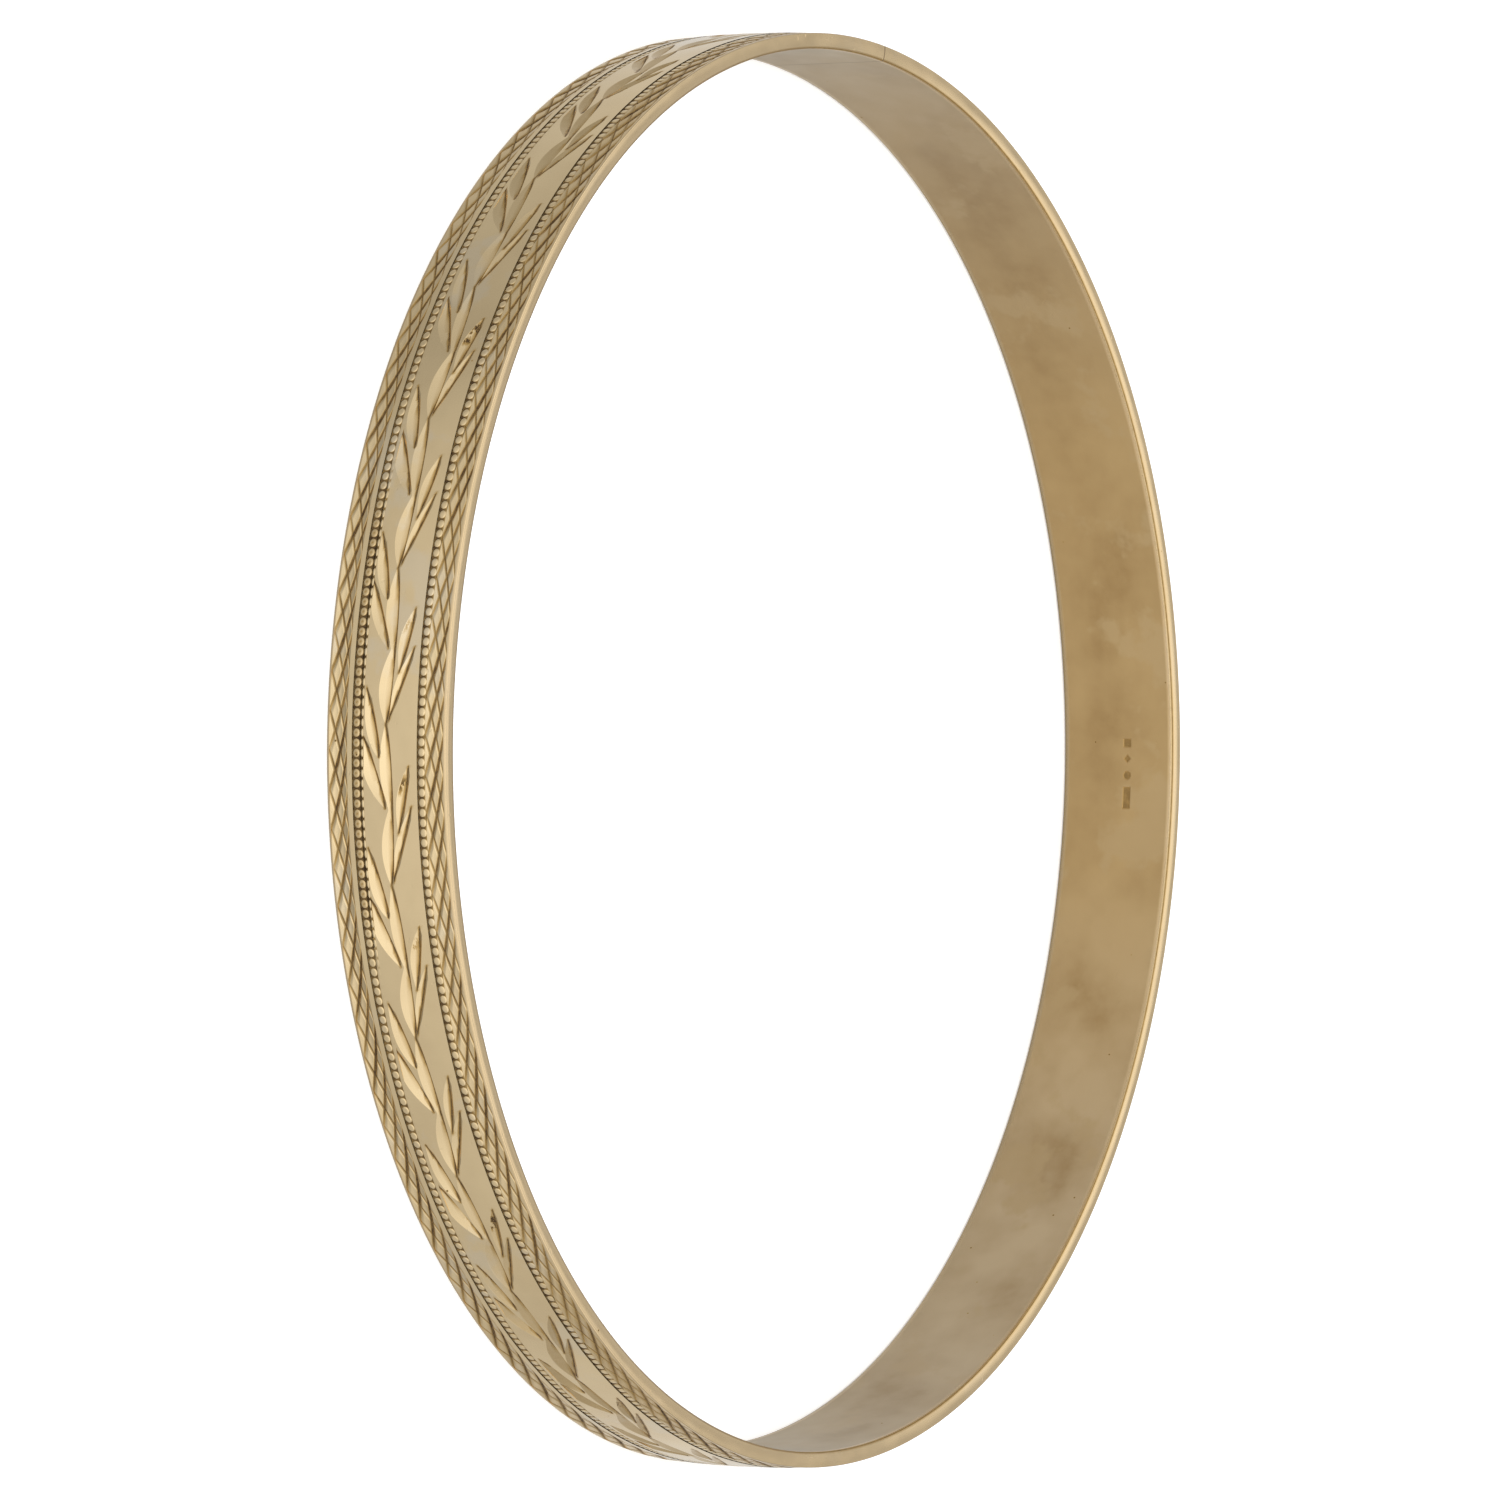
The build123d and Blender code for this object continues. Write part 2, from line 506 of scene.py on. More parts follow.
def grain_strip(name, low, high, count, grain, material):
    """A row of round grains in a furrow, one square of mesh for each grain.

    Inside a square, the rings of points at the same distance from its middle, counted along the sides,
    become ellipses out to the grain's edge, and the last ring is the square itself. The grain is a dome,
    the square root of 1 - (ring / edge) cubed, with a dimple where the punch has a burr. The furrow's two
    sides are upright, and an open furrow rises and clears towards its upper side. On its lower side it
    rises below each grain's middle, so the dark line is scalloped. The punch bit deepest near one turn of
    the ring: away from it the dimples fade, and the furrow is only as strong as the row has it elsewhere.
    """
    pitch = 360 / count
    start = joint_turn + joint_span / 2
    grains = math.floor((360 - joint_span) / pitch)
    pitch = (360 - joint_span) / grains
    across, along = np.meshgrid(bead_nodes, bead_nodes[:-1])
    ring = np.maximum(np.abs(across), np.abs(along))
    reach = np.maximum(np.hypot(across, along), thinnest)
    scale = np.where(ring > bead_edge, 1, ring / bead_edge / reach)
    on_bead = ring <= bead_edge
    middle, half = (low + high) / 2, (high - low) / 2
    x = np.where(on_bead, along * scale * grain["length"] / 2, along * pitch / 2 * mm_per_degree)
    on_grain = grain["height"] - middle + across * scale * grain["breadth"] / 2
    y = np.where(on_bead, on_grain, across * half)
    dimple = grain["dimple"]
    dome = np.sqrt(np.clip(1 - (ring / bead_edge) ** 3, 0, 1))
    dome = dome * np.where(ring > dimple_edge, 1, 1 - dimple)
    rise = np.where(on_bead, bead_rise * dome, 0)
    # Painted shade, with some grime: dark in each grain's dimple, and in the furrow round each grain,
    # scalloped below
    inside = np.where(ring > bead_foot, 0, np.where(ring < dimple_edge, dimple, dimple_ring * dimple))
    clearing = grain["open"] * np.clip(across, 0, 1)
    scallop = 1 - scallop_rise * np.clip(-across, 0, 1) ** 6 * (1 - along**2)
    rim = np.where(ring > bead_foot, scallop * (1 - clearing**2), 0)
    sunk = furrow_depth * (1 - rise) * (1 - open_rise * clearing) * scallop

    cell_turns = (np.arange(grains)[:, None, None] + 0.5) * pitch + x[None] / mm_per_degree
    turns = (start + cell_turns).reshape(-1, x.shape[1])
    heights = np.tile(middle + y, (grains, 1))
    bite = np.clip((np.cos(np.radians(turns - burr_turn)) - bite_ends) / bite_fade, 0, 1)
    strength = grain["elsewhere"] + (1 - grain["elsewhere"]) * bite
    depths = np.tile(sunk, (grains, 1)) * strength
    tarnish = np.tile(rim, (grains, 1)) * strength + np.tile(inside, (grains, 1)) * bite
    rows = x.shape[1]
    first = (turns, heights, depths, tarnish)
    last = (np.full((1, rows), start + grains * pitch), heights[:1], depths[:1], tarnish[:1])
    turns, heights, depths, tarnish = [np.concatenate(pair) for pair in zip(first, last)]

    brim = turns[:, :1]
    brim_low, brim_high, seat = [np.full_like(brim, value) for value in (low, high, seat_radius)]
    all_turns = np.concatenate([brim, turns, brim, brim, brim], axis=1)
    all_heights = np.concatenate([brim_low, heights, brim_high, brim_high, brim_low], axis=1)
    floor = outside(heights) - depths
    all_radii = np.concatenate([outside(brim_low), floor, outside(brim_high), seat, seat], axis=1)
    edge = brim_shade * tarnish[:, :1]
    clean = np.zeros_like(edge)
    marks = {"tarnish": np.concatenate([edge, tarnish, edge, clean, clean], axis=1)}
    return strip_solid(name, all_turns, all_heights, all_radii, rows + 1, material, (1, rows), marks=marks)


# ------------------------ bore, rims and margins

punch_turn = 2.4
punch_height = 0.5
punch_depth = 0.05
punch_slope = 0.05
punch_size = 0.46
punch_offsets = (-1.25, -0.10, 0.75, 1.55)
oblong_length = 1.15
# How much darker the punch marks are made, as a share of their depth
punch_darkening = 0.75
corner_round = 0.05

# The rim's crown, and the fraction of the way from its bevel to its outer corner where it is highest
rim_crown = 0.05
rim_ridge = 0.68

# The bevel at the bore: its size, the places of its rows inwards and down in that size, and the painted
# shade on the rim's last row and on them, which draws the dark lines along the bevel's edges
bevel = 0.06
bevel_inwards = np.array([0.75, 0.6, 0])
bevel_down = np.array([0.35, 0.4, 1.2])
bevel_shade = (0.3, 0.9, 0.9, 0)

# Columns of the core in degrees: everywhere, and over this reach to both sides of the punch marks
core_step = 0.5
fine_step = 0.05
fine_reach = 4.0

face_rows = 93
solder_dressing = 0.03


def punched(turns, heights):
    """Depth of the four plain punch marks: an oblong, a disc, a lozenge and a square, with sloping sides."""
    along = -(turns - punch_turn) * math.radians(bore_radius)
    across = heights - punch_height
    half = punch_size / 2
    oblong_x, disc_x, lozenge_x, square_x = [np.abs(along - offset) for offset in punch_offsets]
    up = np.abs(across)
    outsides = (
        np.maximum(oblong_x - oblong_length / 2, up - half),
        np.hypot(disc_x, up) - half,
        (lozenge_x + up) / math.sqrt(2) - half / math.sqrt(2),
        np.maximum(square_x - half, up - half),
    )
    return punch_depth * np.clip(-np.minimum.reduce(outsides) / punch_slope, 0, 1)


def arc(centre, radius, start, end, count):
    """Points of an arc of a circle in the section, as (radius, height) rows, from one angle to another."""
    angles = np.radians(np.linspace(start, end, count))
    return centre[0] + radius * np.cos(angles), centre[1] + radius * np.sin(angles)


def core_section():
    """Rows of the core's section from the upper seat's outer edge, over the top, down the bore and back.

    With ridge as the radius where the rim is highest, its height is the half width less
    crown x ((radius - ridge) / (ridge - inner edge)) squared, so it drops towards both edges.
    """
    flat_out = rim_radius - corner_round
    flat_in = bore_radius + bevel
    margin = np.linspace(hatch_top, half_width - corner_round, 4)
    corner_r, corner_h = arc((flat_out, half_width - corner_round), corner_round, 8, 90, 7)
    rim_r = np.linspace(flat_out, flat_in, 9)[1:]
    ridge = flat_in + rim_ridge * (flat_out - flat_in)
    rim_h = half_width - rim_crown * ((rim_r - ridge) / (ridge - flat_in)) ** 2
    corner_drop = rim_crown * ((flat_out - ridge) / (ridge - flat_in)) ** 2
    corner_h = corner_h - corner_drop * np.linspace(0, 1, len(corner_h))
    bevel_r = bore_radius + bevel * bevel_inwards
    bevel_h = half_width - rim_crown - bevel * bevel_down
    top_r = np.concatenate([outside(margin), corner_r, rim_r, bevel_r])
    top_h = np.concatenate([margin, corner_h, rim_h, bevel_h])
    plain_top = top_h[-1]
    marks_top, marks_foot = punch_height + 0.3, punch_height - 0.3
    wall_h = np.concatenate([
        np.linspace(plain_top, marks_top, 10)[1:-1],
        np.linspace(marks_top, marks_foot, 25),
        np.linspace(marks_foot, -plain_top, 14)[1:-1],
    ])
    wall_r = np.full_like(wall_h, bore_radius)
    seat_r = np.array([seat_radius, seat_radius])
    seat_h = np.array([lower_hatch_foot, hatch_top])
    radii = np.concatenate([top_r, wall_r, top_r[::-1], seat_r])
    heights = np.concatenate([top_h, wall_h, -top_h[::-1], seat_h])
    satin = np.concatenate([np.zeros(len(top_r)), np.ones(len(wall_r)), np.zeros(len(top_r) + 2)])
    groove = np.zeros(len(top_r))
    groove[-len(bevel_shade):] = bevel_shade
    dark = np.concatenate([groove, np.zeros(len(wall_r)), groove[::-1], np.zeros(2)])
    return radii, heights, satin, dark


def core_columns():
    """Columns of the core: wide apart everywhere but over the punch marks."""
    turns = columns_from(core_step)
    fine = 360 + np.arange(punch_turn - fine_reach, punch_turn + fine_reach, fine_step)
    plain = (turns < fine[0] - fine_step) | (turns > fine[-1] + fine_step)
    return np.sort(np.concatenate([turns[plain], fine]))


def band_core(material):
    """The strip's bore, rims and plain margins in one solid, with the seat that the engraved face closes."""
    radii, heights, satin, groove = core_section()
    turns = core_columns()[:, None]
    all_heights = np.repeat(heights[None], len(turns), axis=0)
    all_radii = np.repeat(radii[None], len(turns), axis=0)
    in_bore = (satin > 0)[None]
    all_radii = all_radii + in_bore * punched(turns - 360, all_heights)
    dark = groove + punch_darkening * in_bore * punched(turns - 360, all_heights) / punch_depth
    shown = len(heights) - 3
    marks = {"tarnish": dark, "satin": np.repeat(satin[None], len(turns), axis=0)}
    return strip_solid("band_core", turns, all_heights, all_radii, shown, material, marks=marks)


def solder_line(material):
    """The solder's film in the joint: the strip's own section, dressed back into its furrows and hatching."""
    radii, heights, satin, groove = core_section()
    face = np.linspace(lower_hatch_foot, hatch_top, face_rows)[1:-1]
    furrow = ((face > grain_foot) & (face < hatch_foot)) | ((face > lower_grain_foot) & (face < burr_top))
    hatched = (face > hatch_foot) | (face < lower_hatch_top)
    face_radii = outside(face) - furrow_depth * furrow - solder_dressing * hatched
    heights = np.concatenate([face, heights[:-2]])
    radii = np.concatenate([face_radii, radii[:-2]])
    turns = joint_turn + joint_span * np.array([[-0.5], [0.0], [0.5]])
    grid = [np.repeat(rows[None], 3, axis=0) for rows in (heights, radii)]
    in_bore = np.concatenate([np.zeros(len(face)), satin[:-2]])
    marks = {"tarnish": np.zeros((3, len(heights))), "satin": np.repeat(in_bore[None], 3, axis=0)}
    return strip_solid("solder_line", turns, *grid, len(heights), material, marks=marks)


# ------------------------ shader groups


def new_group(name, inputs, outputs):
    """A shader group with float or colour sockets: inputs are (name, default), outputs are (name, kind)."""
    group = bpy.data.node_groups.new(name, "ShaderNodeTree")
    for label, default in inputs:
        kind = "NodeSocketColor" if isinstance(default, tuple) else "NodeSocketFloat"
        group.interface.new_socket(label, in_out="INPUT", socket_type=kind).default_value = default
    for label, kind in outputs:
        group.interface.new_socket(label, in_out="OUTPUT", socket_type=kind)
    return group, group.nodes.new("NodeGroupInput"), group.nodes.new("NodeGroupOutput")


def noise(tree, scale, detail, vector, rough=0.5):
    """Clouds of noise at a vector, with so many to its unit, as values round 0.5."""
    node = tree.nodes.new("ShaderNodeTexNoise")
    node.inputs["Scale"].default_value = scale
    node.inputs["Detail"].default_value = detail
    node.inputs["Roughness"].default_value = rough
    tree.links.new(vector, node.inputs["Vector"])
    return node.outputs["Fac"]


def remap(tree, value, low, high, out_low=0.0, out_high=1.0):
    """A value carried from one range to another in a straight line, and held at its ends."""
    node = tree.nodes.new("ShaderNodeMapRange")
    node.inputs["From Min"].default_value = low
    node.inputs["From Max"].default_value = high
    node.inputs["To Min"].default_value = out_low
    node.inputs["To Max"].default_value = out_high
    tree.links.new(value, node.inputs["Value"])
    return node.outputs["Result"]


def calculate(tree, operation, first, second=0.0):
    """The result of a sum on two numbers or sockets."""
    node = tree.nodes.new("ShaderNodeMath")
    node.operation = operation
    for socket, value in zip(node.inputs, (first, second)):
        if isinstance(value, (int, float)):
            socket.default_value = value
        else:
            tree.links.new(value, socket)
    return node.outputs["Value"]


def blend_colours(tree, factor, first, second):
    """The first colour where the factor is 0 and the second where it is 1."""
    node = tree.nodes.new("ShaderNodeMix")
    node.data_type = "RGBA"
    tree.links.new(factor, node.inputs["Factor"])
    for label, value in (("A", first), ("B", second)):
        socket = next(s for s in node.inputs if s.name == label and s.type == "RGBA")
        if isinstance(value, tuple):
            socket.default_value = value
        else:
            tree.links.new(value, socket)
    return next(s for s in node.outputs if s.type == "RGBA")


def stretched(tree, along, across):
    """The strip laid flat, in mm, divided by a length along it and a length across it."""
    flat = tree.nodes.new("ShaderNodeUVMap")
    flat.uv_map = "Strip"
    place = tree.nodes.new("ShaderNodeMapping")
    place.inputs["Scale"].default_value = (1 / along, 1 / across, 1)
    tree.links.new(flat.outputs["UV"], place.inputs["Vector"])
    return place.outputs["Vector"]


def placed(tree):
    """The object's own place in metres, in which the clouds of dull patches and bloom run on past the joint.
    """
    return tree.nodes.new("ShaderNodeTexCoord").outputs["Object"]


def tarnish_and_shade_group():
    """Gold dulled in patches, with pale bloom in others, tinted amber and then dark towards the bottom
    of its recesses, where grime and painted shade lie, with the amber also a painted reflection tint beside
    the cuts, torn in places and pitted."""
    black, white = (0, 0, 0, 1), (1, 1, 1, 1)
    group, given, result = new_group(
        "Tarnish",
        [("Metal", white), ("Dull", white), ("Bloom", white), ("Dirt", black), ("Stain", black),
         ("Recess", 0.0), ("Torn", 0.0), ("Patches", 0.5), ("Pits", 1.0)],
        [("Color", "NodeSocketColor"), ("Mask", "NodeSocketFloat")],
    )
    value = given.outputs
    flat = stretched(group, 1, 1)

    # Patches five millimetres wide, broken up by one millimetre ones, and the pale bloom between them
    broad = remap(group, noise(group, 180, 3, placed(group)), 0.38, 0.62)
    fine = remap(group, noise(group, 1.1, 4, flat), 0.3, 0.7, 0.6, 1.0)
    patches = calculate(group, "MULTIPLY", calculate(group, "MULTIPLY", broad, fine), value["Patches"])
    dulled = blend_colours(group, patches, value["Metal"], value["Dull"])
    cloud = remap(group, noise(group, 260, 4, placed(group), 0.6), 0.55, 0.62)
    dulled = blend_colours(group, calculate(group, "MULTIPLY", cloud, 0.7), dulled, value["Bloom"])

    # The darkened places: recesses a little uneven, with grime and painted shade, rags of torn metal that run
    # along the strip, and pits
    broken = remap(group, noise(group, 2.6, 3, flat), 0.2, 0.6, 0.75, 1.0)
    recess = calculate(group, "MULTIPLY", value["Recess"], broken)
    rags = remap(group, noise(group, 4.5, 3, stretched(group, 2.2, 1), 0.7), 0.46, 0.54)
    torn = calculate(group, "MULTIPLY", rags, remap(group, value["Torn"], 0.25, 0.6))
    pits = calculate(group, "MULTIPLY", scattered(group, 1.6, 0.065), value["Pits"])
    mask = calculate(group, "MAXIMUM", calculate(group, "MAXIMUM", recess, torn), pits)
    # Amber for painted shade, painted reflection tint and the fringe of grime, then dark brown for grime with
    # painted shade
    stained = blend_colours(group, remap(group, mask, 0, 0.5), dulled, value["Stain"])
    darkened = blend_colours(group, remap(group, mask, 0.5, 1), stained, value["Dirt"])
    group.links.new(darkened, result.inputs["Color"])
    group.links.new(mask, result.inputs["Mask"])
    return group


def scattered(tree, scale, radius):
    """Round spots of a radius in mm, one to a cell at most: where the cell's random share is high enough,
    which is one in fifty in most places, and one in five in a few."""
    cells = tree.nodes.new("ShaderNodeTexVoronoi")
    cells.inputs["Scale"].default_value = scale
    tree.links.new(stretched(tree, 1, 1), cells.inputs["Vector"])
    spot = remap(tree, cells.outputs["Distance"], radius * scale, radius * scale * 0.5)
    share = tree.nodes.new("ShaderNodeSeparateColor")
    tree.links.new(cells.outputs["Color"], share.inputs["Color"])
    crowd = remap(tree, noise(tree, 0.25, 2, stretched(tree, 1.5, 1)), 0.45, 0.7, 0.98, 0.80)
    return calculate(tree, "MULTIPLY", spot, calculate(tree, "GREATER_THAN", share.outputs["Red"], crowd))


def handling_group():
    """Wear in polished metal: a roughness that is higher in the mask of grime and painted shade and in
    hairlines, and a softly uneven height with hairlines and pits."""
    group, given, result = new_group(
        "Handling marks",
        [("Roughness", 0.15), ("Variation", 0.05), ("Mask", 0.0)],
        [("Roughness", "NodeSocketFloat"), ("Height", "NodeSocketFloat")],
    )
    value = given.outputs
    dirt_roughness, pit_depth, hair_depth = 0.3, 0.15, 0.02
    cloud = remap(group, noise(group, 0.7, 4, stretched(group, 1.6, 1)), 0.3, 0.7, -1.0, 1.0)
    hair = remap(group, noise(group, 1.0, 2, stretched(group, 0.9, 0.045)), 0.62, 0.72)
    swing = calculate(group, "MULTIPLY", calculate(group, "ADD", cloud, hair), value["Variation"])
    rough = calculate(group, "ADD", value["Roughness"], swing)
    rough = calculate(group, "ADD", rough, calculate(group, "MULTIPLY", value["Mask"], dirt_roughness))
    pits = remap(group, noise(group, 2.2, 2, stretched(group, 1, 1)), 0.70, 0.76)
    soft = noise(group, 0.35, 2, stretched(group, 1.5, 1))
    height = calculate(group, "SUBTRACT", soft, calculate(group, "MULTIPLY", pits, pit_depth))
    height = calculate(group, "SUBTRACT", height, calculate(group, "MULTIPLY", hair, hair_depth))
    group.links.new(rough, result.inputs["Roughness"])
    group.links.new(height, result.inputs["Height"])
    return group


def place_group(tree, group, values):
    """Puts a shader group into a material with its own values, and gives the group's outputs."""
    node = tree.nodes.new("ShaderNodeGroup")
    node.node_tree = group
    for label, value in values.items():
        if isinstance(value, (int, float, tuple)):
            node.inputs[label].default_value = value
        else:
            tree.links.new(value, node.inputs[label])
    return node.outputs


def attribute(tree, name):
    """A value stored at the piece's points, and 0 on a piece that has none."""
    node = tree.nodes.new("ShaderNodeAttribute")
    node.attribute_name = name
    return node.outputs["Fac"]


tarnish = tarnish_and_shade_group()
handling = handling_group()

gold = (0.93, 0.73, 0.43, 1)
dull_gold = (0.80, 0.61, 0.35, 1)
bloom_gold = (0.86, 0.72, 0.50, 1)
# The dark brown below is grime in the cuts and also painted shade in lines, furrows and the bevel; the amber
# after it is painted shade and reflection tint on cut floors and beside strokes, and the fringe of grime
dirt = (0.075, 0.036, 0.006, 1)
amber = (0.52, 0.33, 0.11, 1)
rim_gold = (0.84, 0.64, 0.375, 1)
rim_bloom = (0.84, 0.65, 0.395, 1)
solder_gold = (0.50, 0.37, 0.21, 1)
solder_satin = (0.37, 0.28, 0.17, 1)

# The satin bore, its colours painted darker than the outside for the shade inside the ring: how it shines,
# its colours at +Y, at the +X side and where they turn paler, towards -Y, with their dull patches and bloom
satin_finish = dict(roughness=0.46, metallic=0.65)
bore_satin_and_shade = satin_finish | dict(
    metal=(0.57, 0.39, 0.175, 1), dull=(0.42, 0.265, 0.105, 1), bloom=(0.57, 0.405, 0.20, 1),
    side=(0.67, 0.51, 0.30, 1),
    worn=(0.51, 0.43, 0.31, 1), worn_dull=(0.44, 0.36, 0.25, 1), worn_bloom=(0.53, 0.44, 0.31, 1),
)
joint_satin = dict.fromkeys(bore_satin_and_shade, solder_satin) | satin_finish

# Between which places, in metres, the satin fades: to the paler colours along Y, to the side's colour along
# X, and to duller by the distance from mid width
paler_along_y = (0.030, -0.005)
side_along_x = (0.006, 0.024)
middle_within = (0.0021, 0.0012)
middle_patches = 0.38

pit_strength = 0.9
# Where the mask of grime and painted shade is high the metal is made less metallic, which paints it darker
# still
darkened_from = 0.3
darkened_metallic = 0.35
relief = 0.03 * MM


def gold_material(name, metal, dull, roughness, variation, patches, satin_and_shade_look=None):
    """Polished gold with dull patches, recesses darkened by grime and painted shade, hairlines and pits.
    Where the satin attribute is 1, it has the satin look instead, painted darker for the shade inside the
    ring, whose colours pale towards -Y and +X and are duller along the middle."""
    bloom = rim_bloom if satin_and_shade_look else bloom_gold
    material = bpy.data.materials.new(name)
    material.use_nodes = True
    tree = material.node_tree
    shader = tree.nodes["Principled BSDF"]
    shine = None
    if satin_and_shade_look:
        satin = attribute(tree, "satin")
        split = tree.nodes.new("ShaderNodeSeparateXYZ")
        tree.links.new(placed(tree), split.inputs["Vector"])
        worn = remap(tree, split.outputs["Y"], *paler_along_y)
        aside = remap(tree, split.outputs["X"], *side_along_x)
        plain = blend_colours(tree, aside, satin_and_shade_look["metal"], satin_and_shade_look["side"])
        plain = blend_colours(tree, worn, plain, satin_and_shade_look["worn"])
        plain_dull = blend_colours(tree, worn, satin_and_shade_look["dull"], satin_and_shade_look["worn_dull"])
        plain_bloom = blend_colours(tree, worn, satin_and_shade_look["bloom"], satin_and_shade_look["worn_bloom"])
        metal = blend_colours(tree, satin, metal, plain)
        dull = blend_colours(tree, satin, dull, plain_dull)
        bloom = blend_colours(tree, satin, bloom, plain_bloom)
        roughness = remap(tree, satin, 0, 1, roughness, satin_and_shade_look["roughness"])
        shine = remap(tree, satin, 0, 1, 1.0, satin_and_shade_look["metallic"])
        off_middle = calculate(tree, "SUBTRACT", split.outputs["Z"], half_width * MM)
        off_middle = calculate(tree, "ABSOLUTE", off_middle)
        middle = calculate(tree, "MULTIPLY", remap(tree, off_middle, *middle_within), satin)
        patches = calculate(tree, "ADD", calculate(tree, "MULTIPLY", middle, middle_patches), patches)
    colours = place_group(tree, tarnish, {
        "Metal": metal, "Dull": dull, "Bloom": bloom, "Dirt": dirt, "Stain": amber,
        "Recess": attribute(tree, "tarnish"), "Torn": attribute(tree, "torn"),
        "Patches": patches, "Pits": pit_strength,
    })
    wear = place_group(tree, handling, {
        "Roughness": roughness, "Variation": variation, "Mask": colours["Mask"],
    })
    # Less metallic where the mask of grime and painted shade is high, which paints it darker
    clean = remap(tree, colours["Mask"], darkened_from, 1, 1.0, darkened_metallic)
    metallic = calculate(tree, "MULTIPLY", clean, shine) if shine else clean
    tree.links.new(metallic, shader.inputs["Metallic"])
    tree.links.new(colours["Color"], shader.inputs["Base Color"])
    tree.links.new(wear["Roughness"], shader.inputs["Roughness"])
    bump = tree.nodes.new("ShaderNodeBump")
    bump.inputs["Strength"].default_value = 1.0
    bump.inputs["Distance"].default_value = relief
    tree.links.new(wear["Height"], bump.inputs["Height"])
    tree.links.new(bump.outputs["Normal"], shader.inputs["Normal"])
    return material


face_gold = gold_material("Engraved yellow gold", gold, dull_gold, 0.16, 0.04, 0.6)
core_gold = gold_material("Plain yellow gold", rim_gold, dull_gold, 0.20, 0.05, 0.5, bore_satin_and_shade)
joint_gold = gold_material("Gold solder", solder_gold, solder_gold, 0.20, 0.04, 0.6, joint_satin)

# ------------------------ the pieces

upper_grains = 476
lower_grains = 472

leaf_turns = columns_from(leaf_columns)
level_line = np.ones_like(leaf_turns)
stem_crest = stem_line(leaf_turns) + stem_wall
upper_edge = grain_foot * level_line
lower_edge = burr_top * level_line
upper_cuts = [leaf_cut(leaf, leaf_turns) for leaf in upper_leaves]
lower_cuts = [leaf_cut(leaf, leaf_turns) for leaf in lower_leaves]
stem_parts = stem_cuts(leaf_turns)
stem_outlines = [stem_line(leaf_turns)] + [line - breadth for line, breadth, *_ in stem_parts]
lower_outlines = stem_outlines + outlines_of(lower_cuts)

band_pieces = [
    band_core(core_gold),
    leaf_field("upper_leaves", leaf_turns, stem_crest, upper_edge, outlines_of(upper_cuts), upper_cuts,
               face_gold),
    leaf_field("lower_leaves", leaf_turns, lower_edge, stem_crest, lower_outlines, stem_parts + lower_cuts,
               face_gold),
    grain_strip("upper_grain", grain_foot, hatch_foot, upper_grains, upper_bead, face_gold),
    grain_strip("lower_grain", lower_grain_foot, burr_foot, lower_grains, lower_bead, face_gold),
    grain_strip("lower_burr", burr_foot, burr_top, lower_grains, burr_bead, face_gold),
    hatch_strip("upper_hatching", hatch_foot, hatch_top, upper_hatch, face_gold),
    hatch_strip("lower_hatching", lower_hatch_foot, lower_hatch_top, lower_hatch, face_gold),
    plain_strip("lower_fillet", lower_hatch_top, lower_grain_foot, face_gold),
]

for piece in band_pieces:
    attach(piece, "root")
    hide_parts("bangle_band")

joint_piece = solder_line(joint_gold)
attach(joint_piece, "root")
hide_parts("solder_seam")

# ------------------------ floor, light and camera

# The tent's brightness round the ring, as (angle from straight in front towards +X, value): on the table
# below the horizon, on the wall at the horizon, and in the band of light above the wall
tent_table = (
    (-180, 0.78), (-140, 0.64), (-116, 0.58), (-92, 0.49), (-68, 0.43), (-44, 0.61), (-20, 0.69), (0, 0.72),
    (28, 0.71), (52, 0.62), (76, 0.60), (100, 0.56), (124, 0.64), (148, 0.72), (180, 0.78),
)
tent_wall = (
    (-180, 0.40), (-140, 0.40), (-92, 0.42), (-44, 0.76), (0, 1.12), (52, 0.92), (100, 0.47), (148, 0.40),
    (180, 0.40),
)
tent_band = ((-180, 0.62), (-165, 0.62), (-140, 0.45), (0, 0.70), (120, 0.42), (165, 0.50), (180, 0.62))
tent_foot = 0.35
tent_back = 0.45
tent_roof = 1.1

# The zones above the tent's foot: between which sines of the elevation each takes over, and its brightness
tent_zones = (
    (-0.9, -0.52, tent_table), (-0.46, -0.22, tent_wall), (0.22, 0.36, tent_band),
    (0.40, 0.50, tent_back), (0.525, 0.64, tent_roof),
)

card_white = 0.82
card_lift = 0.35
floor_reach = 3.0


def grey(level):
    return (level, level, level, 1)


def floor_material():
    """White card. What the lens sees directly is lifted to clean white, and its soft shadow stays."""
    material = bpy.data.materials.new("White card")
    material.use_nodes = True
    tree = material.node_tree
    shader = tree.nodes["Principled BSDF"]
    shader.inputs["Base Color"].default_value = grey(card_white)
    shader.inputs["Roughness"].default_value = 0.9
    shader.inputs["Specular IOR Level"].default_value = 0.0
    shader.inputs["Emission Color"].default_value = grey(1)
    seen = tree.nodes.new("ShaderNodeLightPath").outputs["Is Camera Ray"]
    lift = calculate(tree, "MULTIPLY", seen, card_lift)
    tree.links.new(lift, shader.inputs["Emission Strength"])
    return material


def add_floor():
    """One square of card at the height on which the ring lies, out of the mirror images in the metal."""
    mesh = bpy.data.meshes.new("floor")
    corners = np.array([(-1, -1, 0), (1, -1, 0), (1, 1, 0), (-1, 1, 0)]) * floor_reach
    fill_mesh(mesh, corners, [np.array([[0, 1, 2, 3]])])
    mesh.materials.append(floor_material())
    floor = bpy.data.objects.new("floor", mesh)
    floor.visible_glossy = False
    bpy.context.scene.collection.objects.link(floor)


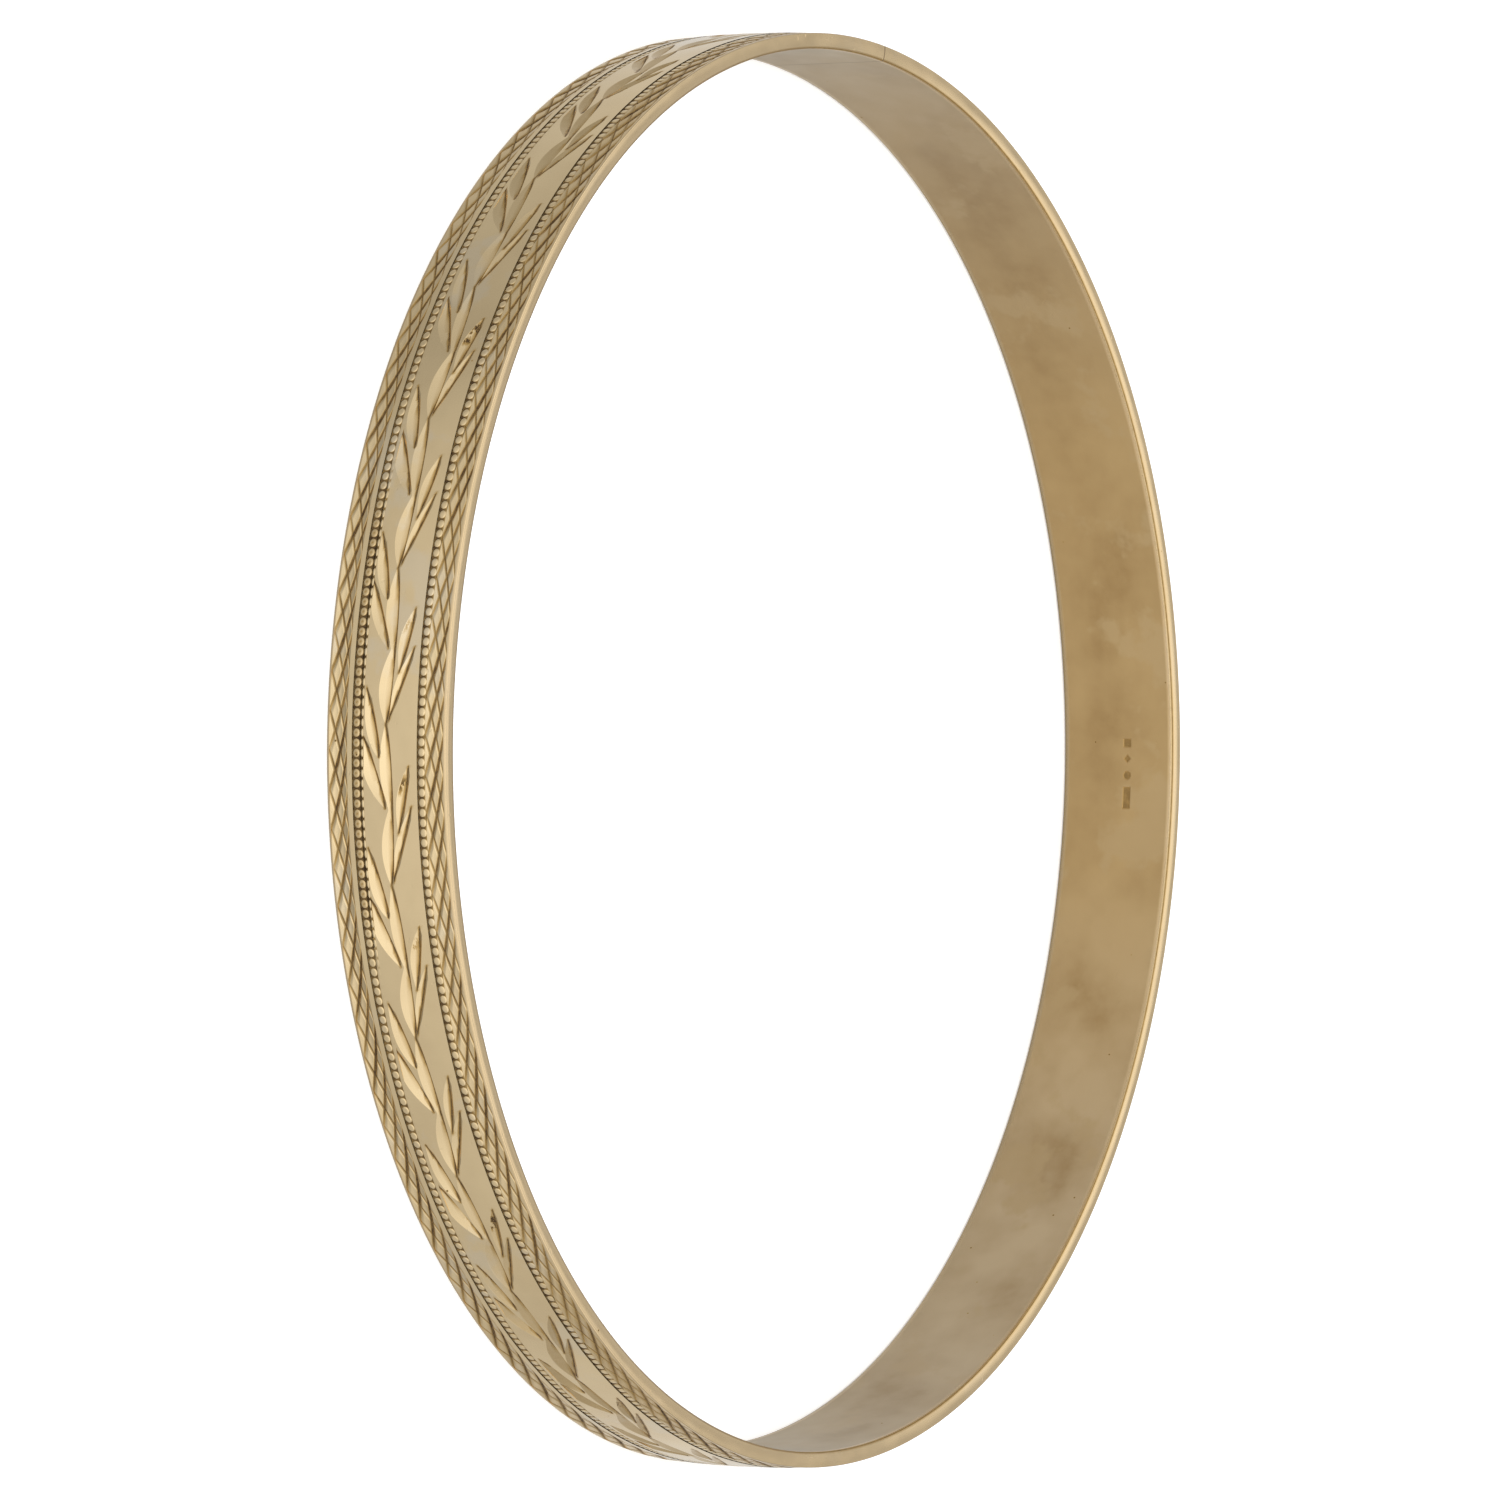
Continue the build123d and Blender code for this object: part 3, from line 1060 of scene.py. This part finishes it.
def facing(place, direction, roll=0.0):
    """The placement of a lamp or camera that looks along a direction, rolled about it by an angle."""
    turned = direction.to_track_quat("-Z", "Y").to_matrix().to_4x4()
    return Matrix.Translation(place) @ turned @ Matrix.Rotation(roll, 4, "Z")


def add_softbox(name, height, side, radiance):
    """A square soft light above the ring. Its power is radiance times area times pi."""
    light = bpy.data.lights.new(name, "AREA")
    light.shape = "RECTANGLE"
    light.size = light.size_y = side
    light.energy = radiance * side * side * math.pi
    lamp = bpy.data.objects.new(name, light)
    lamp.visible_glossy = False
    lamp.matrix_world = facing((0, 0, height), Vector((0, 0, -height)))
    bpy.context.scene.collection.objects.link(lamp)


def profile(tree, value, stops):
    """A grey profile in straight lines through stops, as (place, level), read at a value."""
    low, high = stops[0][0], stops[-1][0]
    node = tree.nodes.new("ShaderNodeValToRGB")
    ramp = node.color_ramp
    for place, level in stops[1:-1]:
        ramp.elements.new((place - low) / (high - low)).color = grey(level)
    for stop, level in ((ramp.elements[0], stops[0][1]), (ramp.elements[-1], stops[-1][1])):
        stop.color = grey(level)
    tree.links.new(remap(tree, value, low, high), node.inputs["Fac"])
    return node.outputs["Color"]


def add_world():
    """A white tent round the ring: bright in front and overhead, dimmer towards the sides, with the table
    falling off towards the ring's foot. From the foot up, each zone covers the last."""
    world = bpy.data.worlds.new("Studio tent")
    world.use_nodes = True
    tree = world.node_tree
    direction = tree.nodes.new("ShaderNodeTexCoord").outputs["Generated"]
    parts = tree.nodes.new("ShaderNodeSeparateXYZ")
    tree.links.new(direction, parts.inputs["Vector"])
    side, ahead, up = parts.outputs
    angle = calculate(tree, "ARCTAN2", side, calculate(tree, "MULTIPLY", ahead, -1))
    angle = calculate(tree, "MULTIPLY", angle, 180 / math.pi)
    glow = grey(tent_foot)
    for low, high, level in tent_zones:
        zone = profile(tree, angle, level) if isinstance(level, tuple) else grey(level)
        glow = blend_colours(tree, remap(tree, up, low, high), glow, zone)
    tree.links.new(glow, tree.nodes["Background"].inputs["Color"])
    bpy.context.scene.world = world


def add_camera():
    """A long lens, looking down on the ring's front and turned on its side, so the ring stands upright."""
    place = Vector((-3.46, -388.7, 237.6)) * MM
    down = math.radians(31.27)
    heading = math.radians(0.51)
    roll = math.radians(90.26)
    ahead = math.cos(down)
    view = Vector((ahead * math.sin(heading), ahead * math.cos(heading), -math.sin(down)))
    lens = bpy.data.cameras.new("camera")
    lens.lens = 226.9
    lens.sensor_width = 36
    lens.clip_start = 0.01
    camera = bpy.data.objects.new("camera", lens)
    camera.matrix_world = facing(place, view, roll)
    bpy.context.scene.collection.objects.link(camera)
    bpy.context.scene.camera = camera


add_floor()
add_world()
add_softbox("overhead softbox", height=0.9, side=1.3, radiance=1.2)
add_camera()

bpy.context.scene.view_settings.view_transform = "Standard"
